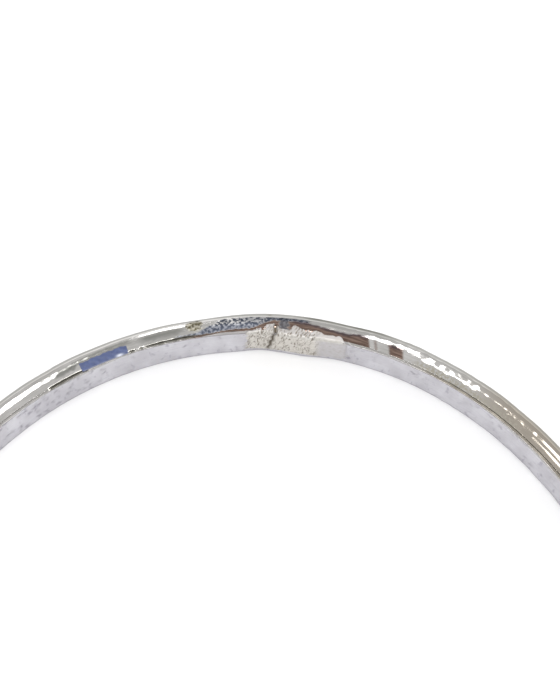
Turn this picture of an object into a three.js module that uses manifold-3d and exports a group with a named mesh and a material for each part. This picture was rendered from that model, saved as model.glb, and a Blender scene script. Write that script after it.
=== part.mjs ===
// A slip-on bangle bracelet, made the way a hollow silver bangle is made at the bench.
// A domed channel of sheet is bent into a ring, a flat strip closes its open side, and solder
// runs along both edges. The two ends meet over a short peg and are soldered into one join.
// Millimetres, +Z up. The bangle lies flat: its axis is Z, its lower side is on Z = 0 and its
// join is at +Y. Places along the band are arc lengths on the inside face, measured from the
// join, clockwise seen from above. Angles are in degrees and run the same way.

import * as THREE from "three";
import { mergeVertices } from "three/addons/utils/BufferGeometryUtils.js";
import Module from "manifold-3d";

const wasm = await Module();
wasm.setup();

// Driving dimensions
const INSIDE_DIAMETER = 65;
const BAND_WIDTH = 5; // along the axis
const LINER_THICKNESS = 0.25;
const LINER_EDGE_CHAMFER = 0.08;
const SHELL_RISE = 2.2; // from the seam with the liner to the crown of the dome
const SHELL_WALL = 0.45;
const SIDE_FLAT = 0.75; // flat run on each side, before the dome starts to fall away
const DOME_EXPONENT = 2.3; // 2 is a plain ellipse, and more is a fuller shoulder
const SOLDER_FILM = 0.02; // gap between soldered faces
const SEAM_FILLET = 0.35; // leg of the solder fillet inside each seam
const JOIN_GAP = 0.25; // between the two butted ends
const PEG_LENGTH = 10;
const PEG_CLEARANCE = 0.06;
const FLOOD_THICKNESS = 0.12; // solder standing proud of the liner at the join
const FLOOD_EDGE_MARGIN = 0.3; // bare liner left between the flood and the lower edge
const FLOOD_START = -2.4; // along the band
const FLOOD_END = 6.6;
const FILED_START = -2.6; // the corner that is filed off at the join and filled with solder
const FILED_END = 7.1;
const FILED_REACH = 0.68; // across the side, past the seam
const FILED_DEPTH = 0.28; // down the inside, always less than the shell's wall
const CREASE_WIDTH = 0.3; // the groove that shows where the two ends meet
const CREASE_DEPTH = 0.08;
const INLAY_PLACE = -14.58; // of its middle, along the band
const INLAY_LENGTH = 4.3;
const INLAY_WIDTH = 0.83;
const INLAY_DEPTH = 0.25;
const INLAY_INSET = 0.12; // from the liner's inside face
const INLAY_CLEARANCE = 0.02;
const OVERSHOOT = 0.5; // how far a cutting shape passes the faces that it cuts

// Fineness of the curves
const RING_SEGMENTS = 96;
const OUTER_DOME_STEPS = 10; // in each half of the dome
const CAVITY_DOME_STEPS = 6;

// Radii and heights that follow
const insideRadius = INSIDE_DIAMETER / 2;
const linerOuterRadius = insideRadius + LINER_THICKNESS;
const shellFootRadius = linerOuterRadius + SOLDER_FILM;
const midHeight = BAND_WIDTH / 2;
const cavityTop = BAND_WIDTH - SHELL_WALL;
const cavityBottom = SHELL_WALL;
const outsideRadius = shellFootRadius + SHELL_RISE;

const radians = (angle) => (angle * Math.PI) / 180;

// The angle at which an arc length along the inside face ends.
const bandAngle = (length) => (length / insideRadius) * (180 / Math.PI);

function solidFrom(geometry) {
  const bare = geometry.clone();
  bare.deleteAttribute("normal");
  bare.deleteAttribute("uv");
  const merged = mergeVertices(bare, 1e-5);
  return new wasm.Manifold(
    new wasm.Mesh({
      numProp: 3,
      vertProperties: new Float32Array(merged.attributes.position.array),
      triVerts: new Uint32Array(merged.index.array),
    }),
  );
}

function geometryFrom(solid) {
  const mesh = solid.getMesh();
  const geometry = new THREE.BufferGeometry();
  geometry.setAttribute(
    "position",
    new THREE.BufferAttribute(mesh.vertProperties, 3),
  );
  geometry.setIndex(new THREE.BufferAttribute(mesh.triVerts, 1));
  geometry.computeVertexNormals();
  return geometry;
}

// A closed ring about Z, from a clockwise outline of [radius, height] pairs. The lathe's faces
// point outwards when its profile runs the other way round.
function ring(outline) {
  const points = outline.map(([radius, height]) => new THREE.Vector2(radius, height)).reverse();
  points.push(points[0].clone());
  const geometry = new THREE.LatheGeometry(points, RING_SEGMENTS);
  return solidFrom(geometry.rotateX(Math.PI / 2));
}

// A prism about Z that holds everything between two angles, less than half a turn apart.
function sector(start, end) {
  const reach = outsideRadius * 2;
  const corner = (angle) => [reach * Math.sin(radians(angle)), reach * Math.cos(radians(angle))];
  const shape = new THREE.Shape();
  shape.moveTo(0, 0);
  shape.lineTo(...corner(end));
  shape.lineTo(...corner((start + end) / 2));
  shape.lineTo(...corner(start));
  const geometry = new THREE.ExtrudeGeometry(shape, {
    depth: BAND_WIDTH * 3,
    bevelEnabled: false,
  });
  return solidFrom(geometry.translate(0, 0, -BAND_WIDTH));
}

// A flat slice through the band at the join, square to the ring.
function joinSlice(width) {
  const geometry = new THREE.BoxGeometry(width, outsideRadius, BAND_WIDTH * 3);
  return solidFrom(geometry.translate(0, outsideRadius, midHeight));
}

// Half of the dome as [radius, height] pairs, from a side's flat run out to the crown.
function domeHalf(wall, steps) {
  const across = SHELL_RISE - SIDE_FLAT - wall;
  const up = midHeight - wall;
  const pairs = [];
  for (let step = 0; step <= steps; step++) {
    const turn = ((step / steps) * Math.PI) / 2;
    const power = 2 / DOME_EXPONENT;
    pairs.push([
      shellFootRadius + SIDE_FLAT + across * Math.sin(turn) ** power,
      midHeight + up * Math.max(Math.cos(turn), 0) ** power,
    ]);
  }
  pairs[steps][1] = midHeight;
  return pairs;
}

// The upper half's pairs, followed by their mirror image down to the lower side.
function mirrored(pairs) {
  const lower = pairs
    .slice(0, -1)
    .map(([radius, height]) => [radius, BAND_WIDTH - height])
    .reverse();
  return [...pairs, ...lower];
}

// Outlines, all clockwise with radius to the right and height up
function linerOutline() {
  const bevel = LINER_EDGE_CHAMFER;
  return [
    [insideRadius, bevel],
    [insideRadius, BAND_WIDTH - bevel],
    [insideRadius + bevel, BAND_WIDTH],
    [linerOuterRadius, BAND_WIDTH],
    [linerOuterRadius, 0],
    [insideRadius + bevel, 0],
  ];
}

function shellOutline() {
  const outer = mirrored(domeHalf(0, OUTER_DOME_STEPS));
  const cavity = mirrored(domeHalf(SHELL_WALL, CAVITY_DOME_STEPS)).reverse();
  return [
    [shellFootRadius, BAND_WIDTH],
    ...outer,
    [shellFootRadius, 0],
    [shellFootRadius, cavityBottom],
    ...cavity,
    [shellFootRadius, cavityTop],
  ];
}

// The whole section with no hollow, from the liner's face, or short of it, to the dome.
function fullOutline(innerRadius) {
  return [
    [innerRadius, 0],
    [innerRadius, BAND_WIDTH],
    ...mirrored(domeHalf(0, OUTER_DOME_STEPS)),
  ];
}

// The peg's section, or the room that it needs when the margin is smaller.
function pegOutline(margin) {
  const chamfer = SEAM_FILLET + margin;
  const inner = shellFootRadius + margin;
  return [
    [inner, cavityBottom + margin + chamfer],
    [inner, cavityTop - margin - chamfer],
    [inner + chamfer, cavityTop - margin],
    ...mirrored(domeHalf(SHELL_WALL + margin, CAVITY_DOME_STEPS)),
    [inner + chamfer, cavityBottom + margin],
  ];
}

// A solder fillet in the corner between the liner and one side wall of the shell.
function filletOutline(atTop) {
  const inner = shellFootRadius;
  const side = atTop ? cavityTop - SOLDER_FILM : cavityBottom + SOLDER_FILM;
  const tip = atTop ? side - SEAM_FILLET : side + SEAM_FILLET;
  const outline = [
    [inner, tip],
    [inner, side],
    [inner + SEAM_FILLET, side],
  ];
  return atTop ? outline : outline.reverse();
}

// The triangle filed off the upper inside corner, made smaller by a margin for its filling.
function filedOutline(margin, overshoot) {
  const outer = shellFootRadius + FILED_REACH;
  const lowest = BAND_WIDTH - FILED_DEPTH;
  const slope = FILED_DEPTH / (outer - insideRadius);
  const lift = margin * Math.hypot(1, slope);
  const left = insideRadius - overshoot;
  return [
    [left, lowest - overshoot * slope + lift],
    [left, BAND_WIDTH + overshoot],
    [outer + overshoot / slope - lift / slope, BAND_WIDTH + overshoot],
  ];
}

// The bar's section, or its pocket's when the margin is above zero.
function inlayOutline(margin, overshoot) {
  const inner = insideRadius + INLAY_INSET - margin;
  const outer = insideRadius + INLAY_INSET + INLAY_WIDTH + margin;
  const floor = BAND_WIDTH - INLAY_DEPTH - margin;
  const top = BAND_WIDTH + overshoot;
  return [
    [inner, floor],
    [inner, top],
    [outer, top],
    [outer, floor],
  ];
}

function inlaySector(margin) {
  const half = bandAngle(INLAY_LENGTH / 2 + margin);
  return sector(-half, half);
}

// Turns a solid made at the join clockwise to its own place on the ring.
const turned = (solid, angle) => solid.rotate([0, 0, -angle]);

// What is cut out of the shell and the liner
const gap = joinSlice(JOIN_GAP);
const filedCorner = ring(filedOutline(0, OVERSHOOT)).intersect(
  sector(bandAngle(FILED_START), bandAngle(FILED_END)),
);
const inlayPocket = turned(
  ring(inlayOutline(INLAY_CLEARANCE, OVERSHOOT)).intersect(inlaySector(INLAY_CLEARANCE)),
  bandAngle(INLAY_PLACE),
);

function outerShell() {
  return ring(shellOutline()).subtract(gap).subtract(filedCorner).subtract(inlayPocket);
}

function innerLiner() {
  return ring(linerOutline()).subtract(gap).subtract(filedCorner).subtract(inlayPocket);
}

function seamSolder(atTop) {
  return ring(filletOutline(atTop)).subtract(gap);
}

function joinPeg() {
  const half = bandAngle(PEG_LENGTH / 2);
  return ring(pegOutline(PEG_CLEARANCE)).intersect(sector(-half, half));
}

// The web between the ends, the flood over the liner's face and the filling of the filed corner.
function joinSolder() {
  const innerFace = insideRadius - FLOOD_THICKNESS;
  const web = ring(fullOutline(innerFace))
    .intersect(joinSlice(JOIN_GAP - 2 * SOLDER_FILM))
    .subtract(ring(pegOutline(PEG_CLEARANCE - SOLDER_FILM)));
  const floodOutline = [
    [innerFace, FLOOD_EDGE_MARGIN],
    [innerFace, BAND_WIDTH - FILED_DEPTH / 2],
    [insideRadius - SOLDER_FILM, BAND_WIDTH - FILED_DEPTH / 2],
    [insideRadius - SOLDER_FILM, FLOOD_EDGE_MARGIN],
  ];
  const flood = ring(floodOutline).intersect(sector(bandAngle(FLOOD_START), bandAngle(FLOOD_END)));
  const fillingStart = bandAngle(FILED_START + SOLDER_FILM);
  const fillingEnd = bandAngle(FILED_END - SOLDER_FILM);
  const filling = ring(filedOutline(SOLDER_FILM, OVERSHOOT))
    .intersect(ring(fullOutline(innerFace)))
    .intersect(sector(fillingStart, fillingEnd));
  const creaseRing = ring([
    [innerFace - OVERSHOOT, -OVERSHOOT],
    [innerFace - OVERSHOOT, BAND_WIDTH + OVERSHOOT],
    [innerFace + CREASE_DEPTH, BAND_WIDTH + OVERSHOOT],
    [innerFace + CREASE_DEPTH, -OVERSHOOT],
  ]);
  const crease = creaseRing.intersect(joinSlice(CREASE_WIDTH));
  return web.add(flood).add(filling).subtract(crease);
}

function inlayBar() {
  return ring(inlayOutline(0, 0)).intersect(inlaySector(0));
}

const polishedSilver = new THREE.MeshStandardMaterial({
  color: 0xcfcfca,
  roughness: 0.16,
  metalness: 1,
});
const mattSilver = new THREE.MeshStandardMaterial({
  color: 0xcdcad2,
  roughness: 0.45,
  metalness: 1,
});
const silverSolder = new THREE.MeshStandardMaterial({
  color: 0xc9c5bb,
  roughness: 0.55,
  metalness: 1,
});
const blueEnamel = new THREE.MeshStandardMaterial({
  color: 0x53629f,
  roughness: 0.3,
  metalness: 0,
});

function named(name, solid, material) {
  const mesh = new THREE.Mesh(geometryFrom(solid), material);
  mesh.name = name;
  return mesh;
}

const bangle = new THREE.Group();
bangle.add(named("outer_shell", outerShell(), polishedSilver));
bangle.add(named("inner_liner", innerLiner(), mattSilver));
bangle.add(named("front_seam_solder", seamSolder(true), silverSolder));
bangle.add(named("rear_seam_solder", seamSolder(false), silverSolder));
bangle.add(named("join_peg", joinPeg(), mattSilver));
bangle.add(named("join_solder", joinSolder(), silverSolder));

const inlay = named("enamel_inlay", inlayBar(), blueEnamel);
inlay.rotation.z = -radians(bandAngle(INLAY_PLACE));
bangle.add(inlay);

export default bangle;
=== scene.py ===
# A hollow silver bangle with a matt lining, a soldered join and a small blue enamel bar.
# The model is in metres. Sizes below are in millimetres and turn to metres in point_on_band.
# An angle is in degrees from the join, clockwise seen from above.

import math

import bpy
import numpy as np
from mathutils import Matrix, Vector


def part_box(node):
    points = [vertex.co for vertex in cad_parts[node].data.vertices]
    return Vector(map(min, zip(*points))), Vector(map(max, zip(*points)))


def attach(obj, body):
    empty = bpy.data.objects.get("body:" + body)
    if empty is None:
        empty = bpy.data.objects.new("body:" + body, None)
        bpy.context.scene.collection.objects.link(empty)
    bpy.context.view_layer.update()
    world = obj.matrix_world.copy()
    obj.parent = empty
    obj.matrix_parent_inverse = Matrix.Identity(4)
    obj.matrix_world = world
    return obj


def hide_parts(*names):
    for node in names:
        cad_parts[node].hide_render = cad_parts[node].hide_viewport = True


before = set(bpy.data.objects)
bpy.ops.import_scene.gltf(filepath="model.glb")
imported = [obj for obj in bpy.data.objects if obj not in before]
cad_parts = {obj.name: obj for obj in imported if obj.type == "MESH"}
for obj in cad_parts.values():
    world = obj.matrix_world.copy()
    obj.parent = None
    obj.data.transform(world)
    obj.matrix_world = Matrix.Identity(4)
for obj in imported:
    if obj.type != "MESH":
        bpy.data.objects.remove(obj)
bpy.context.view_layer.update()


# ---- Outer shell ---------------------------------------------------------------------------
# A channel of silver sheet, domed in a swage block, bent round and polished by hand, so its
# side and dome are bright but a little wavy. The torch left slate and brown tints by the join.

MM = 0.001
BAND_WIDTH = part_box("outer_shell")[1].z / MM
OUTSIDE_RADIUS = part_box("outer_shell")[1].x / MM
LINER_BACK_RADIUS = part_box("inner_liner")[1].x / MM
LINER_THICKNESS = 0.25
INSIDE_RADIUS = LINER_BACK_RADIUS - LINER_THICKNESS
SOLDER_FILM = 0.02
SHELL_FOOT_RADIUS = LINER_BACK_RADIUS + SOLDER_FILM
SHELL_WALL = 0.45
SIDE_FLAT = 0.75
DOME_EXPONENT = 2.3
EDGE_BREAK = 0.004
FILED_DEPTH = 0.28
FILED_LEAD = 0.3
SLOT_DEPTH = 0.12
JOIN_GROOVE = 0.012
BROWN_END = 15.35
MM_PER_DEGREE = math.radians(INSIDE_RADIUS)


def ease(share):
    """A smooth step: 3t squared less 2t cubed, with t held between 0 and 1."""
    held = np.clip(share, 0, 1)
    return held * held * (3 - 2 * held)


def window(place, start, end, soft):
    """1 between start and end and 0 outside them, each edge eased over the width soft."""
    return ease((place - start) / soft + 0.5) * ease((end - place) / soft + 0.5)


def swell(place, centre, reach):
    """A single bell: e to the minus square of the distance from the centre over its reach."""
    return np.exp(-(((place - centre) / reach) ** 2))


def ripples(angle, across, length, breadth, seed, count=22):
    """Random smooth waves from about -1 to 1: a sum of sines whose crests are near length
    apart along the band and breadth apart across it. Each has a whole number of waves round
    the ring, so the pattern closes on itself."""
    rng = np.random.default_rng(seed)
    turns = 2 * np.pi * INSIDE_RADIUS / length
    waves = np.round(turns * rng.uniform(-1.3, 1.3, count))
    rates = 2 * np.pi / breadth * rng.uniform(-1.3, 1.3, count)
    phases = rng.uniform(0, 2 * np.pi, count)
    total = np.zeros(np.broadcast(angle, across).shape)
    for wave, rate, phase in zip(waves, rates, phases):
        total += np.sin(wave * np.radians(angle) + rate * across + phase)
    return total / math.sqrt(count / 2) / 1.6


def dents(along, across, spacing, size, lean, share, seed):
    """Scattered strokes from 0 to 1 deep. Each cell of the spacing may hold one stroke at a
    random place, and a point takes the deepest of the nine nearest, each a bell of the given
    half length and half breadth that leans along the band as it goes across."""
    table = np.random.default_rng(seed).random((96, 96, 4))
    u, v = along / spacing[0], across / spacing[1]
    cell_u, cell_v = np.floor(u).astype(int), np.floor(v).astype(int)
    deepest = np.zeros_like(u)
    for step_u in (-1, 0, 1):
        for step_v in (-1, 0, 1):
            near = table[(cell_u + step_u) % 96, (cell_v + step_v) % 96]
            dv = (v - cell_v - step_v - near[..., 1]) * spacing[1]
            du = (u - cell_u - step_u - near[..., 0]) * spacing[0] - lean * dv
            stroke = np.exp(-((du / size[0]) ** 2) - (dv / size[1]) ** 2)
            kept = (near[..., 2] < share) * (0.35 + 0.65 * near[..., 3])
            deepest = np.maximum(deepest, stroke * kept)
    return deepest


def band_angles(start, end):
    """Angles from start to end, 0.1 of a degree apart at the join, where the work is finest,
    0.18 on the quarter about it, and 0.62 on the rest of the ring."""
    stops = [-180, -50, -14, 14, 50, 180]
    steps = [0.62, 0.18, 0.1, 0.18, 0.62]
    zones = []
    for low, high, step in zip(stops[:-1], stops[1:], steps):
        zones.append(np.linspace(low, high, round((high - low) / step), endpoint=False))
    angles = np.concatenate(zones)
    inner = angles[(angles > start) & (angles < end)]
    return np.concatenate([[start], inner, [end]])


def point_on_band(angle, radius, height):
    """The point at an angle, radius and height, as x, y and z in metres."""
    turn = np.radians(angle)
    parts = np.broadcast_arrays(radius * np.sin(turn), radius * np.cos(turn), height)
    return np.stack(parts, -1) * MM


def lofted(name, points, grain, marks, closed):
    """A closed surface through a grid of points, one section per row. Neighbouring rows are
    joined by squares, and the last row joins the first, or both ends get a flat cap. Each mark
    is a named number per point, and grain is a direction pattern for textures."""
    rows, columns = points.shape[:2]
    index = np.arange(rows * columns).reshape(rows, columns)
    here = index if closed else index[:-1]
    there = np.roll(index, -1, 0) if closed else index[1:]
    corners = [here, there, np.roll(there, -1, 1), np.roll(here, -1, 1)]
    faces = np.stack(corners, -1).reshape(-1, 4).tolist()
    if not closed:
        faces += [index[0].tolist(), index[-1][::-1].tolist()]
    mesh = bpy.data.meshes.new(name)
    mesh.from_pydata(points.reshape(-1, 3), [], faces)
    direction = mesh.attributes.new("grain", "FLOAT_VECTOR", "POINT")
    direction.data.foreach_set("vector", grain.astype(np.float32).ravel())
    for mark, values in marks.items():
        spread = np.broadcast_to(values, points.shape[:2]).astype(np.float32)
        mesh.attributes.new(mark, "FLOAT", "POINT").data.foreach_set("value", spread.ravel())
    mesh.shade_smooth()
    piece = bpy.data.objects.new(name, mesh)
    bpy.context.scene.collection.objects.link(piece)
    return piece


def grain_along(angle, across):
    """A place for textures that are ten times longer along the band than across it: a circle a
    tenth of the real size with the distance across the band on top, in millimetres."""
    turn = np.radians(angle)
    tenth = INSIDE_RADIUS / 10
    return np.stack(np.broadcast_arrays(tenth * np.sin(turn), tenth * np.cos(turn), across), -1)


def dome(wall, turns):
    """Half of the dome as radius and height: a superellipse, whose sine and cosine are raised
    to 2 over its exponent. The wall's thickness is taken off its rise and half width."""
    rise = OUTSIDE_RADIUS - SHELL_FOOT_RADIUS - SIDE_FLAT - wall
    half = BAND_WIDTH / 2 - wall
    power = 2 / DOME_EXPONENT
    radius = SHELL_FOOT_RADIUS + SIDE_FLAT + rise * np.sin(turns) ** power
    return radius, BAND_WIDTH / 2 + half * np.clip(np.cos(turns), 0, 1) ** power


def solder_reach(angle):
    """How far the solder at the join spreads from the inside corner over the polished side,
    in millimetres: it creeps along the corner, climbs to the crease, is cut by a narrow bay of
    bare metal, peaks, and runs back to the corner in three steps."""
    creep = 0.27 * ease((angle + 17) / 13)
    climb = 0.68 * ease((angle + 3.6) / 4.2)
    bay = 0.32 * window(angle, 1.35, 3.3, 0.5)
    peak = 0.2 * swell(angle, 4.0, 0.55)
    steps = 0.08 * ease((angle - 4) / 1.5) + 0.26 * ease((angle - 7.3) / 1.2)
    last_step = 0.61 * ease((angle - 10.9) / 1.6)
    ragged = 1 + 0.05 * ripples(angle, 0.0, 0.5, 1.0, 3)
    return np.clip((creep + climb - bay + peak - steps - last_step) * ragged, 0.001, None)


def filed_away(out, reach):
    """How deep the file cut the corner at a distance out from it: FILED_DEPTH times one less the
    share of the solder's reach that lies behind a point FILED_LEAD further out, or nothing."""
    return FILED_DEPTH * np.clip(1 - (out + FILED_LEAD) / reach, 0, 1)


def seam_opening(angle):
    """How wide the solder seam lies open, from 0 to 1: a slot and a row of pinholes before the
    enamel bar and after it, a ragged run up to the join, and broken patches past it."""
    ragged = 0.5 + 0.5 * ripples(angle, 0.0, 0.9, 1.0, 5)
    slot = window(angle, -35.2, -28.6, 0.5) * (0.8 + 0.2 * ragged)
    pinholes = window(angle, -21.9, -19.7, 0.4) * ease(ripples(angle, 0.0, 0.7, 1.0, 8) * 2 + 0.5)
    run = window(angle, -19.4, -11.5, 1.8) * (0.6 + 0.3 * ragged)
    patches = window(angle, 23, 42, 3.0) * ease(ragged * 2.2 - 0.9) * 0.2
    elsewhere = window(np.abs(angle), 46, 181, 4.0)
    hairline = elsewhere * ease(ripples(angle, 0.0, 4.0, 1.0, 9) * 2 - 0.7) * 0.5
    return np.clip(slot + 0.7 * pinholes + run + patches + hairline, 0, 1)


def end_mismatch(angle):
    """How far the two ends miss each other at the join, in millimetres outwards: the left end
    stands out a little, and the right one is pushed in."""
    ends = 0.12 * swell(angle, -1.6, 2.2) - 0.18 * swell(angle, 5.4, 3.2)
    drift = 0.02 * swell(angle, 18, 5) - 0.03 * swell(angle, -43, 6) - 0.05 * window(angle, 28, 70, 12)
    return ends + drift


def forged_swell(angle):
    """How far the outside stands proud or lies low of the true circle after hammering."""
    left = -0.2 * swell(angle, -19, 11.5) - 0.04 * swell(angle, -36, 6) - 0.13 * swell(angle, -9, 5)
    right = -0.12 * swell(angle, 11, 5) + 0.02 * swell(angle, 21, 4) - 0.08 * window(angle, 24, 70, 14)
    right = right + 0.02 * swell(angle, 31, 4) - 0.03 * swell(angle, 40, 4)
    away = ease((np.abs(angle) - 44) / 12) * 0.09 * ripples(angle, 0.0, 26, 1.0, 21, 8)
    return left + right + away


def hammered(angle, across):
    """How far the planishing hammer left the side and dome off true, in millimetres: broad
    waves with smaller ones on them."""
    broad = 0.011 * ripples(angle, across, 4.5, 3.5, 31)
    return broad + 0.0025 * ripples(angle, across, 1.1, 1.4, 32)


shell_angles = band_angles(-180, 180)[:-1, None]
foot_steps = np.concatenate([[0, EDGE_BREAK], np.linspace(0.04, 0.3, 7, endpoint=False)])
flat_steps = np.linspace(0.3, SIDE_FLAT, 7, endpoint=False)
top_flat = SHELL_FOOT_RADIUS + np.concatenate([foot_steps, flat_steps])
upper_radius, upper_height = dome(0, np.linspace(0, 1, 34)[:-1] * np.pi / 2)
lower_radius, lower_height = dome(0, np.linspace(1, 0, 14) * np.pi / 2)
cave_radius, cave_height = dome(SHELL_WALL, np.linspace(0, 1, 5) * np.pi / 2)
foot_radius = np.full(3, SHELL_FOOT_RADIUS)
section_radius = np.concatenate([
    top_flat, upper_radius, lower_radius, [SHELL_FOOT_RADIUS + 0.35], foot_radius[:2],
    cave_radius, cave_radius[-2::-1], foot_radius,
])
section_height = np.concatenate([
    np.full(top_flat.size, BAND_WIDTH), upper_height, BAND_WIDTH - lower_height, [0, 0, SHELL_WALL],
    BAND_WIDTH - cave_height, cave_height[-2::-1],
    [BAND_WIDTH - SHELL_WALL, BAND_WIDTH - 0.12, BAND_WIDTH - EDGE_BREAK],
])
skin_size = top_flat.size + upper_radius.size + lower_radius.size + 2
is_skin = np.arange(section_radius.size) < skin_size
is_upper = np.arange(section_radius.size) < top_flat.size + upper_radius.size
step_lengths = np.hypot(np.diff(section_radius), np.diff(section_height))
across = LINER_THICKNESS + SOLDER_FILM + np.concatenate([[0], np.cumsum(step_lengths)])
run_radius = np.gradient(section_radius)
run_height = np.gradient(section_height)
run_length = np.hypot(run_radius, run_height) + 1e-9
out_radius, out_height = -run_height / run_length, run_radius / run_length

# where a point of the section lies, and how far the seam beside it is open
from_seam = section_radius - SHELL_FOOT_RADIUS
on_side = is_upper * ease((section_height - BAND_WIDTH / 2) / 0.8)
shoulder = is_skin * ease(from_seam / 0.9)
opening = seam_opening(shell_angles)
near_seam = is_upper * np.exp(-((from_seam / (0.04 + 0.05 * opening)) ** 2))
slot_side = is_upper * ease((0.01 + 0.05 * opening - from_seam) / 0.03)
slot_side = slot_side * ease((opening - 0.22) / 0.4)

# heat tint: brown next to the solder, slate outside it, and a bay of slate across the brown
reach = solder_reach(shell_angles)
tint_angle = shell_angles + 0.25 * ripples(shell_angles, across, 0.7, 0.5, 36)
tint_across = across + 0.035 * ripples(shell_angles, across, 0.5, 0.6, 37)
bay = window(tint_angle, 1.3, 2.9, 0.4)
slate_top = 0.45 + 1.2 * ease((tint_angle + 12) / 6)
brown_top = reach + 0.1 + 0.13 * ease((tint_angle + 9) / 4)
brown_crest = 1.3 - 0.38 * ease((shell_angles - 4) / 7.5) + 0.2 * ease((shell_angles - 11.6) / 2)
brown_top = brown_top + (brown_crest - brown_top) * ease((shell_angles + 0.4) / 1.4)
slant = shell_angles + 0.75 * (across - 0.7)
brown_ends = window(shell_angles, -12.0, 30, 2.0) * ease((BROWN_END - slant) / 0.3 + 0.5)
brown = brown_ends * ease((brown_top - tint_across) / 0.08 + 0.5)
brown = brown + 0.6 * window(slant, 16.15, 16.6, 0.3) * window(across, 0.2, 1.05, 0.15)
brown = brown + window(slant, 18.5, 20.75, 0.4) * window(across, 0.2, 1.15, 0.2)
brown = np.clip(brown, 0, 1) * is_upper * (1 - 0.85 * bay)
slate = window(tint_angle, -14.4, 6.0, 1.0) * ease((slate_top - tint_across) / 0.12 + 0.5)
slate = slate * ease((tint_across - brown_top) / 0.08 + 0.5)
slate = slate + 0.9 * bay * window(across, 0.5, 1.4, 0.1)
slate = np.clip(slate, 0, 1) * is_upper
sparse = 0.9 * window(shell_angles, -12, -4.4, 2.0) + 0.4 * window(shell_angles, -4.4, -0.3, 2.0)
sparse = sparse * ease((across - 0.8) / 0.35) * is_upper
burnt = window(shell_angles, 3.4, 16, 1.4) * swell(tint_across, brown_top - 0.04, 0.13)
burnt = burnt * ease((BROWN_END - slant) / 0.3 + 0.5)
burnt = burnt + window(slant, 18.5, 20.5, 0.6) * swell(across, 1.05, 0.14)
burnt = np.clip(burnt, 0, 1) * is_upper
from_spot = np.hypot((tint_angle + 11.35) / 1.3, (tint_across - 1.28) / 0.62)
champagne = ease((1.15 - from_spot) / 0.3) * is_upper
raw = np.clip(slate + champagne, 0, 1) * is_upper * (1 - 0.75 * bay)
mottle = window(shell_angles, 23, 41, 4) * window(tint_across, 0.15, 0.72, 0.3) * is_upper
taupe = ease((shell_angles - 28) / 12) * ease((66 - shell_angles) / 12) * is_skin

# painted dark reflection along the crest of the dome and in patches on the side: darker colour in place
# of dark surroundings mirrored in the metal
film = 0.85 * window(tint_angle, -19.8, -13.2, 2.4) * window(tint_across, 0.72, 1.2, 0.4)
film = film + 0.85 * window(tint_angle, -33.4, -30.4, 1.0) * window(tint_across, 0.68, 1.2, 0.3)
film = film + 0.7 * window(tint_angle, -30.6, -21.2, 1.6) * window(tint_across, 0.9, 1.35, 0.25)
film = film + 0.3 * window(tint_angle, -19.5, -13.0, 3.0) * window(tint_across, 0.2, 0.75, 0.2)
film = film + 0.3 * window(tint_angle, 5, 18, 4.0) * ease((tint_across - 1.2) / 0.2)
# the crest part is painted shade, darker down the outer curve of the dome
crown = 0.55 * ease((4.84 - section_height) / 0.16)
crown = crown * ease((section_height - 2.4) / 0.8) * window(shell_angles, -58, 58, 16)
film = np.clip(film + crown, 0, 1) * is_skin
join_line = swell(shell_angles, 0.0, 0.22) * is_skin * ease((across - 1.7) / 0.3)

# hammer waves, raw pimples, buffing blotches and worn facets, all proud of the true section
hammering = hammered(shell_angles, across) * ease(section_height / 1.2)
pimples = 0.002 * ripples(shell_angles, across, 0.42, 0.3, 33, 40) * raw
blotches = ripples(shell_angles, across, 1.1, 0.6, 34, 30) * on_side * window(shell_angles, 12, 42, 4)
blotches = blotches * (0.0012 * ease(from_seam / 0.4) + 0.006 * ease((from_seam - 0.35) / 0.4))
worn = window(shell_angles, -50, -33.4, 1.2) + window(shell_angles, 23.5, 32.5, 1.5)
worn = 0.03 * worn * ease((from_seam - 0.5) / 0.45)
worn = worn + 0.012 * window(shell_angles, 43.6, 54, 0.6) * ease((from_seam - 0.36) / 0.2)
proud = (hammering + pimples + blotches - worn * is_upper) * is_skin - JOIN_GROOVE * join_line
proud = proud + forged_swell(shell_angles) * shoulder * out_radius
shell_radius = section_radius + proud * out_radius
filed = filed_away(section_radius - INSIDE_RADIUS, reach) * is_upper
sunk = SLOT_DEPTH * opening * slot_side + filed
shell_height = np.maximum(section_height + proud * out_height - sunk, 0)
# the crevice mark darkens the open seam and the filed slope under the solder's edge: partly oxide,
# partly painted shade
shell_marks = {
    "slate": slate, "brown": brown, "burnt": burnt, "raw": raw, "champagne": champagne,
    "mottle": mottle, "taupe": taupe, "film": film, "sparse": sparse, "join_line": join_line,
    "crevice": np.clip(opening * near_seam * 1.8 + 0.8 * ease(filed / 0.02), 0, 1),
}
outer_shell = lofted(
    "outer_shell_polished", point_on_band(shell_angles, shell_radius, shell_height),
    grain_along(shell_angles, across), shell_marks, True,
)


def linear(code):
    """An sRGB hex colour as linear red, green and blue with full alpha."""
    parts = [int(code[i:i + 2], 16) / 255 for i in (1, 3, 5)]
    return [c / 12.92 if c <= 0.04045 else ((c + 0.055) / 1.055) ** 2.4 for c in parts] + [1.0]


def add(tree, kind, inputs, **settings):
    """Adds one node: its settings are set, and each input is linked to a socket or filled."""
    node = tree.nodes.new(kind)
    for name, value in settings.items():
        setattr(node, name, value)
    for key, value in inputs.items():
        if isinstance(value, bpy.types.NodeSocket):
            tree.links.new(value, node.inputs[key])
        else:
            node.inputs[key].default_value = value
    return node


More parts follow.
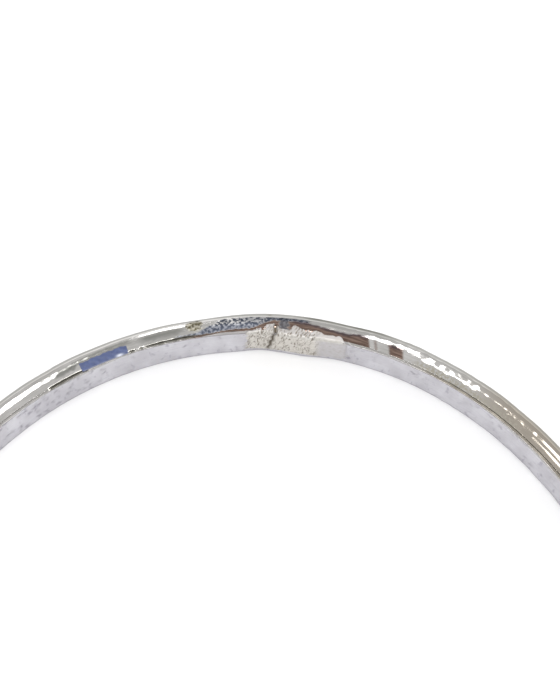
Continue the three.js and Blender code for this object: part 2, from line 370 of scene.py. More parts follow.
def start_material(name):
    """An empty node material with its shader joined to the output. Returns the material, its
    tree, its shader and its place in millimetres from the Object coordinates."""
    material = bpy.data.materials.new(name)
    material.use_nodes = True
    tree = material.node_tree
    tree.nodes.clear()
    shader = add(tree, "ShaderNodeBsdfPrincipled", {})
    add(tree, "ShaderNodeOutputMaterial", {"Surface": shader.outputs["BSDF"]})
    place = add(tree, "ShaderNodeTexCoord", {}).outputs["Object"]
    in_mm = add(tree, "ShaderNodeMapping", {"Vector": place, "Scale": (1000, 1000, 1000)})
    return material, tree, shader, in_mm.outputs["Vector"]


def polished_silver():
    """Sterling silver, buffed by hand: a bright mirror with a soft haze, lengthwise buffing
    lines, and the slate and brown oxide of a torch flame where it wasn't cleaned off."""
    material, tree, shader, place = start_material("hand_polished_silver")
    read = {}
    for mark in shell_marks:
        read[mark] = add(tree, "ShaderNodeAttribute", {}, attribute_name=mark).outputs["Fac"]
    grain = add(tree, "ShaderNodeAttribute", {}, attribute_name="grain").outputs["Vector"]
    haze = add(tree, "ShaderNodeTexNoise", {"Vector": place, "Scale": 0.45, "Detail": 4.0})
    # buffing lines are finer than 0.05 mm, and are drawn at 0.12 mm so that they show
    lines = add(tree, "ShaderNodeTexNoise", {"Vector": grain, "Scale": 8.0, "Detail": 4.0})
    speckle = add(tree, "ShaderNodeTexNoise", {"Vector": place, "Scale": 4.2, "Detail": 5.0})
    # each measure is a texture's middle range stretched out to the range of an amount
    measure = {}
    for name, texture, low, high, least, most in (
        ("streak", lines, 0.35, 0.7, 0.0, 0.4), ("grainy", speckle, 0.42, 0.56, 0.0, 1.0),
        ("uneven", haze, 0.3, 0.6, 0.75, 1.0), ("baked", lines, 0.38, 0.62, 0.0, 1.0),
        ("sheen", lines, 0.3, 0.7, 0.06, 0.14),
    ):
        measure[name] = add(tree, "ShaderNodeMapRange", {
            "Value": texture.outputs["Fac"], "From Min": low, "From Max": high,
            "To Min": least, "To Max": most,
        }).outputs["Result"]
    # the painted dark reflection and olive are broken up, and slate is left out of the gaps between its
    # grains
    film = add(tree, "ShaderNodeMath", {
        0: read["film"], 1: measure["uneven"],
    }, operation="MULTIPLY").outputs["Value"]
    olive = add(tree, "ShaderNodeMath", {
        0: read["mottle"], 1: measure["grainy"],
    }, operation="MULTIPLY").outputs["Value"]
    bare = add(tree, "ShaderNodeMath", {0: 1.0, 1: measure["grainy"]}, operation="SUBTRACT")
    gaps = add(tree, "ShaderNodeMath", {
        0: read["sparse"], 1: bare.outputs["Value"],
    }, operation="MULTIPLY")
    slate = add(tree, "ShaderNodeMath", {
        0: read["slate"], 1: gaps.outputs["Value"],
    }, operation="SUBTRACT", use_clamp=True).outputs["Value"]
    # each stain has a pale and a dark tone
    stain = {}
    for name, pale, dark, share in (
        ("champagne", "#9B978B", "#55503F", "grainy"), ("slate", "#74767D", "#3F434D", "grainy"),
        ("brown", "#927D72", "#65534A", "baked"),
    ):
        stain[name] = add(tree, "ShaderNodeMix", {
            "Factor": measure[share], "A": linear(pale), "B": linear(dark),
        }, data_type="RGBA").outputs["Result"]
    clean = add(tree, "ShaderNodeValToRGB", {"Fac": haze.outputs["Fac"]})
    for stop, at, code in zip(clean.color_ramp.elements, (0.35, 0.65), ("#C3C1BE", "#D3D1CF")):
        stop.position = at
        stop.color = linear(code)
    # the layers over the clean metal, from the lowest up
    colour = clean.outputs["Color"]
    for layer, amount in (
        (linear("#A19F9A"), measure["streak"]), (linear("#ACA499"), read["taupe"]),
        # 82827D is the painted dark reflection
        (linear("#82827D"), film), (stain["champagne"], read["champagne"]),
        (stain["slate"], slate), (stain["brown"], read["brown"]),
        (linear("#574B4D"), read["burnt"]), (linear("#B5B0A3"), olive),
        # 7E7B73 along the seam and the filed slope is partly oxide and partly painted shade
        (linear("#8D897F"), read["join_line"]), (linear("#7E7B73"), read["crevice"]),
    ):
        colour = add(tree, "ShaderNodeMix", {
            "Factor": amount, "A": colour, "B": layer,
        }, data_type="RGBA").outputs["Result"]
    tree.links.new(colour, shader.inputs["Base Color"])
    # the painted dark reflection also dims the metal's slanting glare through its specular tint
    glare = add(tree, "ShaderNodeMix", {
        "Factor": film, "A": linear("#FFFFFF"), "B": linear("#8A8A84"),
    }, data_type="RGBA")
    tree.links.new(glare.outputs["Result"], shader.inputs["Specular Tint"])
    shader.inputs["Metallic"].default_value = 1.0
    rough = add(tree, "ShaderNodeMath", {
        0: read["raw"], 1: 0.28, 2: measure["sheen"],
    }, operation="MULTIPLY_ADD")
    rough = add(tree, "ShaderNodeMath", {
        0: read["crevice"], 1: 0.55, 2: rough.outputs["Value"],
    }, operation="MULTIPLY_ADD", use_clamp=True)
    tree.links.new(rough.outputs["Value"], shader.inputs["Roughness"])
    scored = add(tree, "ShaderNodeBump", {
        "Height": lines.outputs["Fac"], "Strength": 0.1, "Distance": 0.00001,
    })
    # the pits' height is centred on zero, so that it makes no step where the raw metal ends
    level = add(tree, "ShaderNodeMath", {0: speckle.outputs["Fac"], 1: 0.5}, operation="SUBTRACT")
    pitted = add(tree, "ShaderNodeMath", {
        0: read["raw"], 1: level.outputs["Value"],
    }, operation="MULTIPLY")
    bumpy = add(tree, "ShaderNodeBump", {
        "Height": pitted.outputs["Value"], "Normal": scored.outputs["Normal"],
        "Strength": 0.5, "Distance": 0.00005,
    })
    tree.links.new(bumpy.outputs["Normal"], shader.inputs["Normal"])
    return material


outer_shell.data.materials.append(polished_silver())
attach(outer_shell, "root")
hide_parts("outer_shell")


# ---- Join peg ------------------------------------------------------------------------------
# A short D-section peg of silver that slides into the hollow of both ends, so that they meet
# in line. It is sawn from bar and left as the saw leaves it, because the shell hides it.


def sawn_silver():
    """Silver as the saw and file leave it: a dull white metal with short random scratches."""
    material, tree, shader, place = start_material("sawn_silver")
    scratches = add(tree, "ShaderNodeTexNoise", {"Vector": place, "Scale": 6.0, "Detail": 6.0})
    colour = add(tree, "ShaderNodeMix", {
        "Factor": scratches.outputs["Fac"], "A": linear("#BDBAB2"), "B": linear("#DAD8D2"),
    }, data_type="RGBA")
    tree.links.new(colour.outputs["Result"], shader.inputs["Base Color"])
    shader.inputs["Metallic"].default_value = 1.0
    shader.inputs["Roughness"].default_value = 0.45
    bump = add(tree, "ShaderNodeBump", {
        "Height": scratches.outputs["Fac"], "Strength": 0.5, "Distance": 0.00003,
    })
    tree.links.new(bump.outputs["Normal"], shader.inputs["Normal"])
    return material


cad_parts["join_peg"].data.materials.clear()
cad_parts["join_peg"].data.materials.append(sawn_silver())


# ---- Inner liner ---------------------------------------------------------------------------
# A flat strip of thin silver sheet that closes the channel. It is left matt from pickling, so
# it is a pale even grey, scratched along its length, with small pits, and painted shade along its lower
# edge.

LINER_EDGE_ROUND = 0.04
PIT_DEPTH = 0.035
FLOOD_BED = 0.12


def matt_edge(angle):
    """Where the matt surface stops, in millimetres past the inside corner: down on the face
    where the buff has rounded the corner, and out on the side where solder has spread."""
    buffed = 0.06 + 0.26 * swell(angle, -28, 6) + 0.2 * swell(angle, 21.5, 2.5)
    buffed = buffed + 0.36 * ease((angle - 33) / 8)
    spread = (buffed + 0.24 * ease((angle + 13) / 7)) * ease((angle + 17) / 4)
    return spread * ease(13.2 - angle) - buffed + 0.04 * ripples(angle, 0.0, 1.4, 1.0, 41)


def flood_cover(angle, across):
    """How much of the inside face the solder covers, from 0 to 1: a window along the band with
    a ragged edge, which stops short of the lower edge."""
    ragged = 0.3 * ripples(angle, across, 0.9, 1.2, 65)
    along_band = angle * MM_PER_DEGREE + ragged
    return window(along_band, -2.1, 7.25, 0.8) * ease((across - 0.15) / 0.3)


liner_angles = band_angles(-180, 180)[:-1, None]
face_height = np.concatenate([
    np.linspace(LINER_EDGE_ROUND, 4.2, 42, endpoint=False),
    np.linspace(4.2, BAND_WIDTH - LINER_EDGE_ROUND, 14),
])
turn = np.linspace(0, np.pi / 2, 6)[1:]
corner_radius = INSIDE_RADIUS + LINER_EDGE_ROUND * (1 - np.cos(turn))
corner_height = BAND_WIDTH - LINER_EDGE_ROUND * (1 - np.sin(turn))
rim_start = INSIDE_RADIUS + LINER_EDGE_ROUND
rim_radius = np.append(np.linspace(rim_start, LINER_BACK_RADIUS - EDGE_BREAK, 9)[1:], LINER_BACK_RADIUS)
liner_section_radius = np.concatenate([
    np.full(face_height.size, INSIDE_RADIUS), corner_radius, rim_radius,
    [LINER_BACK_RADIUS] * 5, corner_radius[::-1],
])
liner_section_height = np.concatenate([
    face_height, corner_height, np.full(rim_radius.size, BAND_WIDTH),
    [BAND_WIDTH - EDGE_BREAK, BAND_WIDTH - 0.5, BAND_WIDTH / 2, 0.5, 0],
    BAND_WIDTH - corner_height[::-1],
])
on_face = liner_section_radius < INSIDE_RADIUS + LINER_EDGE_ROUND / 2
on_rim = liner_section_height > BAND_WIDTH - LINER_EDGE_ROUND
liner_opening = seam_opening(liner_angles)
to_seam = LINER_BACK_RADIUS - liner_section_radius
liner_near_seam = on_rim * np.exp(-((to_seam / (0.03 + 0.2 * liner_opening)) ** 2))
liner_slot_side = on_rim * ease((0.01 + 0.22 * liner_opening - to_seam) / 0.03)
liner_slot_side = liner_slot_side * ease((liner_opening - 0.22) / 0.4)
along = liner_angles * MM_PER_DEGREE
wavy = 0.02 * ripples(liner_angles, liner_section_height, 9, 7, 51)
wavy = wavy + 0.006 * ripples(liner_angles, liner_section_height, 2.2, 1.8, 52)
wavy = wavy + 0.02 * ripples(liner_angles, liner_section_height, 3.0, 3.0, 53) * window(
    liner_angles, 26, 60, 12)
pit_share = 0.10 + 0.55 * window(liner_angles, -60, -27, 8)
bent = 0.12 * ripples(liner_angles, liner_section_height, 0.8, 0.9, 56)
pits = dents(along + bent, liner_section_height - 1.5 * bent, (0.8, 1.1), (0.18, 0.34), 0.3,
             0.6, 54) * on_face
pits = pits * ease((pit_share + 0.25 * ripples(liner_angles, liner_section_height, 5, 3, 55)) * 2)
inward = wavy - PIT_DEPTH * pits
liner_reach = solder_reach(liner_angles)
liner_out = liner_section_radius - INSIDE_RADIUS
liner_filed = filed_away(liner_out, liner_reach) * window(liner_angles, -4.6, 12, 0.6) * on_rim
under_flood = flood_cover(liner_angles, liner_section_height) * on_face
liner_radius = liner_section_radius + end_mismatch(liner_angles) - inward * on_face
liner_radius = liner_radius + FLOOD_BED * under_flood
liner_sunk = liner_filed + SLOT_DEPTH * liner_opening * liner_slot_side
liner_level = hammered(liner_angles, liner_out) * ease((liner_section_height - 4.5) / 0.5)
liner_height = liner_section_height + liner_level - liner_sunk
# painted shade on the rounding of the inside corner
past_corner = np.where(on_face, liner_section_height - BAND_WIDTH, liner_out)
corner = swell(past_corner, -0.01, 0.06) * (liner_section_height > BAND_WIDTH / 2)
liner_marks = {
    "pits": 0.8 * pits,
    "corner": 0.75 * corner,
    # the seam mark is partly oxide and partly painted shade
    "crevice": np.clip(liner_opening * liner_near_seam * 1.3, 0, 1),
    # painted shade along the lower edge
    "lower_edge": 0.7 * ease((0.24 - liner_section_height) / 0.2),
    "buffed": ease((past_corner - matt_edge(liner_angles)) / 0.08 + 0.5)
    * (liner_section_height > BAND_WIDTH / 2) * (1 - corner),
    "scorched": ease((past_corner - matt_edge(liner_angles)) / 0.06 + 0.5)
    * window(liner_angles, -13, -3.5, 3.0),
    "taupe": ease((liner_angles - 20) / 8) * ease((66 - liner_angles) / 12) * on_rim,
    # painted shade on the top edge
    "topside": ease((liner_section_height - BAND_WIDTH + 0.06) / 0.06),
}
inner_liner = lofted(
    "inner_liner_matt", point_on_band(liner_angles, liner_radius, liner_height),
    grain_along(liner_angles, liner_section_height + liner_out), liner_marks, True,
)


def matt_silver():
    """Silver sheet that was pickled and never polished: a matt, slightly lavender white, with
    draw lines along the strip and small pits that hold dark oxide."""
    material, tree, shader, place = start_material("pickled_matt_silver")
    read = {}
    for mark in liner_marks:
        read[mark] = add(tree, "ShaderNodeAttribute", {}, attribute_name=mark).outputs["Fac"]
    grain = add(tree, "ShaderNodeAttribute", {}, attribute_name="grain").outputs["Vector"]
    tall = add(tree, "ShaderNodeMapping", {"Vector": place, "Scale": (1, 1, 0.35)})
    drawn_out = tall.outputs["Vector"]
    cloud = add(tree, "ShaderNodeTexNoise", {"Vector": drawn_out, "Scale": 0.6, "Detail": 5.0})
    # draw lines are finer than 0.05 mm, and are drawn at 0.15 mm so that they show
    lines = add(tree, "ShaderNodeTexNoise", {"Vector": grain, "Scale": 6.5, "Detail": 5.0})
    freckle = add(tree, "ShaderNodeTexNoise", {"Vector": drawn_out, "Scale": 2.2, "Detail": 4.0})
    measure = {}
    for name, texture, low, high, most in (
        ("draw", lines, 0.45, 0.75, 0.3), ("spot", freckle, 0.6, 0.72, 0.5),
    ):
        measure[name] = add(tree, "ShaderNodeMapRange", {
            "Value": texture.outputs["Fac"], "From Min": low, "From Max": high,
            "To Min": 0.0, "To Max": most,
        }).outputs["Result"]
    bright = add(tree, "ShaderNodeMix", {
        "Factor": read["taupe"], "A": linear("#B0AEAB"), "B": linear("#A19A8F"),
    }, data_type="RGBA").outputs["Result"]
    even = add(tree, "ShaderNodeValToRGB", {"Fac": cloud.outputs["Fac"]})
    for stop, at, code in zip(even.color_ramp.elements, (0.32, 0.68), ("#BCBABF", "#D5D4D8")):
        stop.position = at
        stop.color = linear(code)
    # the layers over the even grey, from the lowest up
    colour = even.outputs["Color"]
    for layer, amount in (
        (linear("#A9A5B2"), measure["draw"]), (linear("#8E8A98"), measure["spot"]),
        # 838180 on the top edge is painted shade
        (linear("#838180"), read["topside"]), (bright, read["buffed"]),
        # 7F7C7E at the inside corner is painted shade
        (linear("#77665D"), read["scorched"]), (linear("#7F7C7E"), read["corner"]),
        # 8D8795 along the lower edge is painted shade
        (linear("#75707C"), read["pits"]), (linear("#8D8795"), read["lower_edge"]),
        # 7E7B73 along the seam is partly oxide and partly painted shade
        (linear("#7E7B73"), read["crevice"]),
    ):
        colour = add(tree, "ShaderNodeMix", {
            "Factor": amount, "A": colour, "B": layer,
        }, data_type="RGBA").outputs["Result"]
    tree.links.new(colour, shader.inputs["Base Color"])
    shader.inputs["Metallic"].default_value = 1.0
    rough = add(tree, "ShaderNodeMapRange", {
        "Value": cloud.outputs["Fac"], "From Min": 0.3, "From Max": 0.7, "To Min": 0.4, "To Max": 0.58,
    })
    buffed = add(tree, "ShaderNodeMath", {
        0: read["buffed"], 1: -0.36, 2: rough.outputs["Result"],
    }, operation="MULTIPLY_ADD")
    tree.links.new(buffed.outputs["Value"], shader.inputs["Roughness"])
    texture = add(tree, "ShaderNodeMapRange", {
        "Value": read["buffed"], "From Min": 0.0, "From Max": 1.0, "To Min": 0.5, "To Max": 0.03,
    })
    scored = add(tree, "ShaderNodeBump", {
        "Height": lines.outputs["Fac"], "Strength": texture.outputs["Result"], "Distance": 0.00003,
    })
    rolled = add(tree, "ShaderNodeBump", {
        "Height": freckle.outputs["Fac"], "Normal": scored.outputs["Normal"],
        "Strength": texture.outputs["Result"], "Distance": 0.00003,
    })
    tree.links.new(rolled.outputs["Normal"], shader.inputs["Normal"])
    return material


inner_liner.data.materials.append(matt_silver())
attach(inner_liner, "root")
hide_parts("inner_liner")


# ---- Seam solder ---------------------------------------------------------------------------
# Silver solder in the two seams between the shell and the liner: a fillet inside the hollow
# and a thin tongue between the sheets. It stops short of the surface where the seam is open.

SEAM_FILLET = 0.35


def seam_section(angle, opening, upper):
    """The solder's section at each angle, as radius and height: a triangle in the corner of
    the hollow with a tongue on top, which sinks as the seam opens."""
    wall_side = BAND_WIDTH - SHELL_WALL - SOLDER_FILM
    sunk = BAND_WIDTH - 0.02 - 0.34 * opening
    foot = SHELL_FOOT_RADIUS
    ones = np.ones_like(angle)
    radius = np.concatenate([
        foot * ones, (foot - 0.02 - 0.02 * opening) * ones, (foot + 0.03 * opening) * ones,
        foot * ones + 0.004, (foot + SEAM_FILLET) * ones,
    ], 1)
    height = np.concatenate([
        (wall_side - SEAM_FILLET) * ones, sunk, sunk, wall_side * ones + 0.002, wall_side * ones,
    ], 1)
    return radius, height if upper else BAND_WIDTH - height


def seam_solder_metal():
    """Silver solder as it froze in the seam: a dull grey alloy, darkened by old flux."""
    material, tree, shader, place = start_material("seam_solder")
    blots = add(tree, "ShaderNodeTexNoise", {"Vector": place, "Scale": 1.8, "Detail": 5.0})
    colour = add(tree, "ShaderNodeMix", {
        "Factor": blots.outputs["Fac"], "A": linear("#4A463C"), "B": linear("#8D897C"),
    }, data_type="RGBA")
    tree.links.new(colour.outputs["Result"], shader.inputs["Base Color"])
    shader.inputs["Metallic"].default_value = 1.0
    shader.inputs["Roughness"].default_value = 0.6
    bump = add(tree, "ShaderNodeBump", {
        "Height": blots.outputs["Fac"], "Strength": 0.6, "Distance": 0.00004,
    })
    tree.links.new(bump.outputs["Normal"], shader.inputs["Normal"])
    return material


seam_angles = band_angles(-180, 180)[:-1, None]
seam_metal = seam_solder_metal()
for node, upper in (("front_seam_solder", True), ("rear_seam_solder", False)):
    seam_width = seam_opening(seam_angles) if upper else 0.25 * seam_opening(-seam_angles)
    seam_radius, seam_height = seam_section(seam_angles, seam_width, upper)
    if not upper:
        seam_radius, seam_height = seam_radius[:, ::-1], seam_height[:, ::-1]
    seam = lofted(
        node + "_run", point_on_band(seam_angles, seam_radius, seam_height),
        grain_along(seam_angles, seam_height), {}, True,
    )
    seam.data.materials.append(seam_metal)
    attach(seam, "root")
    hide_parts(node)


# ---- Join solder ---------------------------------------------------------------------------
# The solder that closes the join has a web between the two ends and a flood that ran over the
# inside face and the filed corner; only the flood is built here. It froze wrinkled and pitted and was
# never cleaned up.

FLOOD_LOWER_EDGE = 0.12
FLOOD_THICKNESS = 0.14
FLOOD_BACK = 0.16

flood_angles = np.linspace(-6.9, 13.4, 320)[:, None]
face_part = np.linspace(0, 1, 84)
bend_part = np.linspace(0, 1, 13)[1:]
side_part = np.linspace(0, 1, 26)[1:]
flood_reach = solder_reach(flood_angles)
corner_soft = np.clip(flood_reach * 0.45, 0.02, 0.3)
flood_lap = 0.1 * ease((flood_reach - 0.35) / 0.3)
straight = BAND_WIDTH - corner_soft - FLOOD_LOWER_EDGE
bend_turn = bend_part * np.pi / 2
flood_radius = np.concatenate([
    INSIDE_RADIUS + 0 * face_part + 0 * flood_angles,
    INSIDE_RADIUS + corner_soft * (1 - np.cos(bend_turn)),
    INSIDE_RADIUS + corner_soft + (flood_reach + flood_lap + 0.05 - corner_soft) * side_part,
], 1)
flood_height = np.concatenate([
    FLOOD_LOWER_EDGE + straight * face_part,
    BAND_WIDTH - corner_soft * (1 - np.sin(bend_turn)),
    BAND_WIDTH + 0 * side_part + 0 * flood_angles,
], 1)
flood_across = (flood_height - FLOOD_LOWER_EDGE) + (flood_radius - INSIDE_RADIUS)
flood_along = flood_angles * MM_PER_DEGREE + 0 * flood_across
out_r = np.concatenate([
    -np.ones(face_part.size), -np.cos(bend_turn), np.zeros(side_part.size),
])
out_h = np.concatenate([
    np.zeros(face_part.size), np.sin(bend_turn), np.ones(side_part.size),
])

crease_line = -0.25 + 0.75 * (flood_across / BAND_WIDTH)
crease_line = crease_line + 0.05 * np.sin(flood_across * 4.1 + 0.6)
off_crease = flood_along - crease_line
crease = swell(off_crease, 0, 0.16) * ease((flood_across - 0.2) / 0.8)
lips = swell(np.abs(off_crease), 0.3, 0.16)
thick = window(flood_along, -3.2, 6.2, 1.6) * ease(flood_across / 0.5)
end_of_side = ease((INSIDE_RADIUS + flood_reach + flood_lap - flood_radius) / 0.16)
cover = flood_cover(flood_angles, flood_across)
rim = cover * end_of_side
busy = window(flood_along, -2.2, 4.3, 1.0) + 0.25 * window(flood_along, 4.3, 7.0, 1.6)
stroke_place = np.minimum(flood_height - BAND_WIDTH, 0) * 0.35 + flood_radius - INSIDE_RADIUS + 3
stroke_along = flood_along + 0.07 * ripples(flood_angles, flood_across, 0.6, 0.7, 66)
strokes = dents(stroke_along, stroke_place, (0.19, 0.33), (0.045, 0.16), 0.4, 0.75, 61)
fine_strokes = dents(stroke_along, stroke_place, (0.13, 0.24), (0.034, 0.12), 0.3, 0.6, 62)
holes = dents(flood_along, flood_across, (0.8, 0.8), (0.08, 0.1), 0.0, 0.4, 63) * busy
wrinkles = busy * np.clip(1.1 * strokes + 0.8 * fine_strokes, 0, 1)
swells = 0.03 * ripples(flood_angles, flood_across, 2.4, 2.2, 64)
raised = FLOOD_THICKNESS + 0.04 * thick + swells * thick + 0.02 * lips
hollowed = 0.05 * wrinkles + 0.09 * crease + 0.09 * holes
flood_proud = rim * (raised - hollowed) - FLOOD_THICKNESS
flood_top_radius = flood_radius + flood_proud * out_r + end_mismatch(flood_angles)
flood_top_height = flood_height + flood_proud * out_h
flood_back_radius = flood_radius[:, ::-1] - FLOOD_BACK * out_r[::-1] + end_mismatch(flood_angles)
flood_back_height = flood_height[:, ::-1] - FLOOD_BACK * out_h[::-1]
both_radius = np.concatenate([flood_top_radius, flood_back_radius[:, ::5]], 1)
both_height = np.concatenate([flood_top_height, flood_back_height[:, ::5]], 1)
blank = np.zeros_like(flood_back_radius[:, ::5])
flood_marks = {}
for mark, values in (
    ("wrinkles", wrinkles), ("crease", crease), ("holes", holes), ("warmth", busy * rim),
    # the bend's mark is a painted highlight
    # the top face's mark is painted shade
    ("topside", ease((flood_height - 4.8) / 0.15)), ("bend", 2 * np.abs(out_r * out_h)),
):
    top_values = np.broadcast_to(values, flood_across.shape)
    flood_marks[mark] = np.concatenate([top_values, blank], 1)
join_flood = lofted(
    "join_solder_flood", point_on_band(flood_angles, both_radius, both_height),
    grain_along(flood_angles, np.concatenate([flood_across, blank], 1)), flood_marks, False,
)


def frozen_solder():
    """Silver solder that ran and froze by itself: a warm dull white with a crystalline skin,
    whose strokes and pits hold brown flux glass."""
    material, tree, shader, place = start_material("frozen_silver_solder")
    read = {}
    for mark in flood_marks:
        read[mark] = add(tree, "ShaderNodeAttribute", {}, attribute_name=mark).outputs["Fac"]
    skin = add(tree, "ShaderNodeTexNoise", {"Vector": place, "Scale": 3.0, "Detail": 6.0})
    patch = add(tree, "ShaderNodeMapRange", {
        "Value": skin.outputs["Fac"], "From Min": 0.4, "From Max": 0.7, "To Min": 0.0, "To Max": 0.4,
    }).outputs["Result"]
    deep = add(tree, "ShaderNodeMapRange", {
        "Value": read["wrinkles"], "From Min": 0.25, "From Max": 0.8, "To Min": 0.0, "To Max": 0.9,
    }).outputs["Result"]
    # the layers over the plain solder, from the lowest up
    colour = linear("#BDBBC0")
    for code, amount in (
        # A9A6A5 on the top face is painted shade
        # D5D2CD round the bend is a painted highlight
        ("#D6D2CC", read["warmth"]), ("#A9A6A5", read["topside"]), ("#D5D2CD", read["bend"]),
        ("#A9A49B", patch), ("#7A7164", deep), ("#5A5143", read["crease"]),
        ("#332D27", read["holes"]),
    ):
        colour = add(tree, "ShaderNodeMix", {
            "Factor": amount, "A": colour, "B": linear(code),
        }, data_type="RGBA").outputs["Result"]
    tree.links.new(colour, shader.inputs["Base Color"])
    shader.inputs["Metallic"].default_value = 1.0
    shader.inputs["Roughness"].default_value = 0.55
    bump = add(tree, "ShaderNodeBump", {
        "Height": skin.outputs["Fac"], "Strength": 0.5, "Distance": 0.00005,
    })
    tree.links.new(bump.outputs["Normal"], shader.inputs["Normal"])
    return material


join_flood.data.materials.append(frozen_solder())
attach(join_flood, "root")
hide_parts("join_solder")


# ---- Enamel bar ----------------------------------------------------------------------------
# A bar of opaque blue enamel, fired into a pocket that crosses the seam and ground level. Its
# ends are square and its gloss is low, and a painted glint lies near one end of its inner edge.

BAR_LENGTH = 4.3
BAR_WIDTH = 0.83
BAR_DEPTH = 0.25
BAR_INSET = 0.12
BAR_STEP = 0.012
BAR_CROWN = 0.015
BAR_ANGLE = -14.58 / MM_PER_DEGREE

bar_steps = np.linspace(-1, 1, 120)[:, None]
bar_across = np.linspace(-1, 1, 36)
bar_along = bar_steps * BAR_LENGTH / 2
bar_angles = BAR_ANGLE + bar_along / MM_PER_DEGREE
edge_waver = 0.03 * np.sin(bar_along * 5.3) + 0.02 * np.sin(bar_along * 11.7 + 1.0)
bar_middle = INSIDE_RADIUS + BAR_INSET + BAR_WIDTH / 2
bar_half = BAR_WIDTH / 2 * (1 - 0.16 * ease((np.abs(bar_steps) - 0.94) / 0.06))
bar_radius = bar_middle + bar_across * bar_half + edge_waver * (bar_across > 0.5)
bar_edge = np.minimum(1 - np.abs(bar_across), (1 - np.abs(bar_steps)) * BAR_LENGTH / BAR_WIDTH)
bar_top = BAND_WIDTH + BAR_STEP + BAR_CROWN * ease(bar_edge / 0.25)
bar_top = bar_top + 0.004 * np.sin(bar_along * 7 + bar_across * 5)
# painted glint: a pale spot on the enamel near one end of its inner edge
chip = swell(bar_along, 1.35, 0.3) * swell(bar_across, -0.72, 0.28)
bar_foot_height = np.full((bar_steps.size, 12), BAND_WIDTH - BAR_DEPTH)
bar_foot_radius = bar_radius[:, ::-1][:, ::3]
enamel_radius = np.concatenate([bar_radius, bar_foot_radius], 1)
enamel_height = np.concatenate([bar_top, bar_foot_height], 1)
enamel_marks = {
    "rim": np.concatenate([1 - ease(bar_edge / 0.22), np.ones((bar_steps.size, 12))], 1),
    "chip": np.concatenate([chip, np.zeros((bar_steps.size, 12))], 1),
}
enamel_inlay = lofted(
    "enamel_inlay_bar", point_on_band(bar_angles, enamel_radius, enamel_height),
    grain_along(bar_angles, enamel_radius - INSIDE_RADIUS), enamel_marks, False,
)


def blue_enamel():
    """Opaque vitreous enamel, which is coloured glass: a flat blue with faint clouds and a
    low gloss from grinding, darker towards its edge."""
    material, tree, shader, place = start_material("opaque_blue_enamel")
    read = {}
    for mark in enamel_marks:
        read[mark] = add(tree, "ShaderNodeAttribute", {}, attribute_name=mark).outputs["Fac"]
    cloud = add(tree, "ShaderNodeTexNoise", {"Vector": place, "Scale": 2.6, "Detail": 5.0})
    colour = linear("#1B2851")
    for code, amount in (
        # C4C8D4 is a painted glint
        ("#4D5C88", cloud.outputs["Fac"]), ("#565B70", read["rim"]), ("#C4C8D4", read["chip"]),
    ):
        colour = add(tree, "ShaderNodeMix", {
            "Factor": amount, "A": colour, "B": linear(code),
        }, data_type="RGBA").outputs["Result"]
    tree.links.new(colour, shader.inputs["Base Color"])
    shader.inputs["IOR"].default_value = 1.52
    shader.inputs["Roughness"].default_value = 0.38
    bump = add(tree, "ShaderNodeBump", {
        "Height": cloud.outputs["Fac"], "Strength": 0.3, "Distance": 0.00004,
    })
    tree.links.new(bump.outputs["Normal"], shader.inputs["Normal"])
    return material


enamel_inlay.data.materials.append(blue_enamel())
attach(enamel_inlay, "root")
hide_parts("enamel_inlay")


# ---- Studio --------------------------------------------------------------------------------
# A plain white floor, an even grey room and soft panels. The bright side of the bangle mirrors
# the grey room, and the panels draw the white streaks along its shoulder.

floor_mesh = bpy.data.meshes.new("floor")
half_floor = 0.6
floor_corners = [(-half_floor, -half_floor, 0), (half_floor, -half_floor, 0),
                 (half_floor, half_floor, 0), (-half_floor, half_floor, 0)]
floor_mesh.from_pydata([(x, y, -0.00002) for x, y, z in floor_corners], [], [(0, 1, 2, 3)])
floor = bpy.data.objects.new("floor", floor_mesh)
bpy.context.scene.collection.objects.link(floor)
paper, _, paper_shader, _ = start_material("white_paper")
paper_shader.inputs["Base Color"].default_value = linear("#F2F2F2")
paper_shader.inputs["Roughness"].default_value = 0.9
floor_mesh.materials.append(paper)

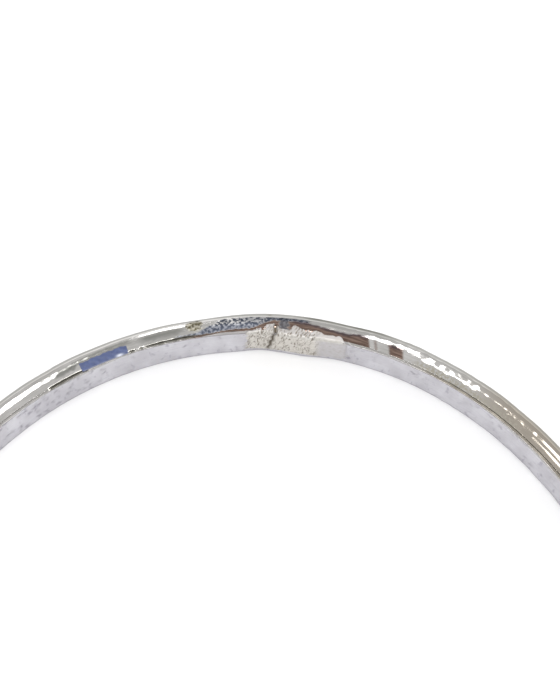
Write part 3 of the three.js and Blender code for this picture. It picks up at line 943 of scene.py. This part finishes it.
room = bpy.data.worlds.new("grey_room")
room.use_nodes = True
room.node_tree.nodes["Background"].inputs["Color"].default_value = linear("#EAEAEA")
bpy.context.scene.world = room


def panel(name, angle, tilt, distance, width, length, power):
    """A soft panel that faces the bangle's centre, at an angle clockwise from the join and a
    tilt from straight up. Its width runs round the ring and its length runs up and down."""
    light = bpy.data.lights.new(name, "AREA")
    light.shape = "RECTANGLE"
    light.size, light.size_y = width, length
    light.energy = power
    lamp = bpy.data.objects.new(name, light)
    turn = Matrix.Rotation(math.radians(-angle), 4, "Z")
    lean = Matrix.Rotation(math.radians(-tilt), 4, "X")
    lamp.matrix_world = turn @ lean @ Matrix.Translation((0, 0, distance))
    bpy.context.scene.collection.objects.link(lamp)


panel("overhead_panel", 0, 0, 0.8, 0.2, 0.2, 2.35)
panel("left_window", -38.6, 37.5, 0.6, 0.068, 0.18, 0.165)
panel("left_slit", -28.6, 40, 0.6, 0.01, 0.16, 0.022)
panel("left_low_window", -16, 75, 0.6, 0.066, 0.27, 0.25)
panel("right_slit", 15, 40, 0.6, 0.034, 0.28, 0.131)
panel("right_window", 19.5, 48, 0.6, 0.062, 0.28, 0.25)
panel("right_high_window", 24.5, 29, 0.6, 0.04, 0.066, 0.05)
panel("side_window", 47.5, 36, 0.6, 0.09, 0.23, 0.267)
panel("front_left_panel", -140, 50, 0.7, 0.3, 0.2, 0.35)
panel("front_right_panel", 130, 50, 0.7, 0.3, 0.2, 0.35)

camera_data = bpy.data.cameras.new("camera")
camera_data.sensor_width = 36
camera_data.lens = 72.5
camera_data.clip_start = 0.005
camera = bpy.data.objects.new("camera", camera_data)
camera_turn = Matrix.Rotation(math.radians(2.2), 4, "Z")
camera_lean = Matrix.Rotation(math.radians(17.62), 4, "X")
camera_place = Matrix.Translation((2.33 * MM, -6.30 * MM, 122.48 * MM))
camera_yaw = Matrix.Rotation(math.radians(0.06), 4, "Y")
camera.matrix_world = camera_turn @ camera_place @ camera_yaw @ camera_lean
bpy.context.scene.collection.objects.link(camera)
bpy.context.scene.camera = camera
bpy.context.scene.view_settings.view_transform = "Standard"
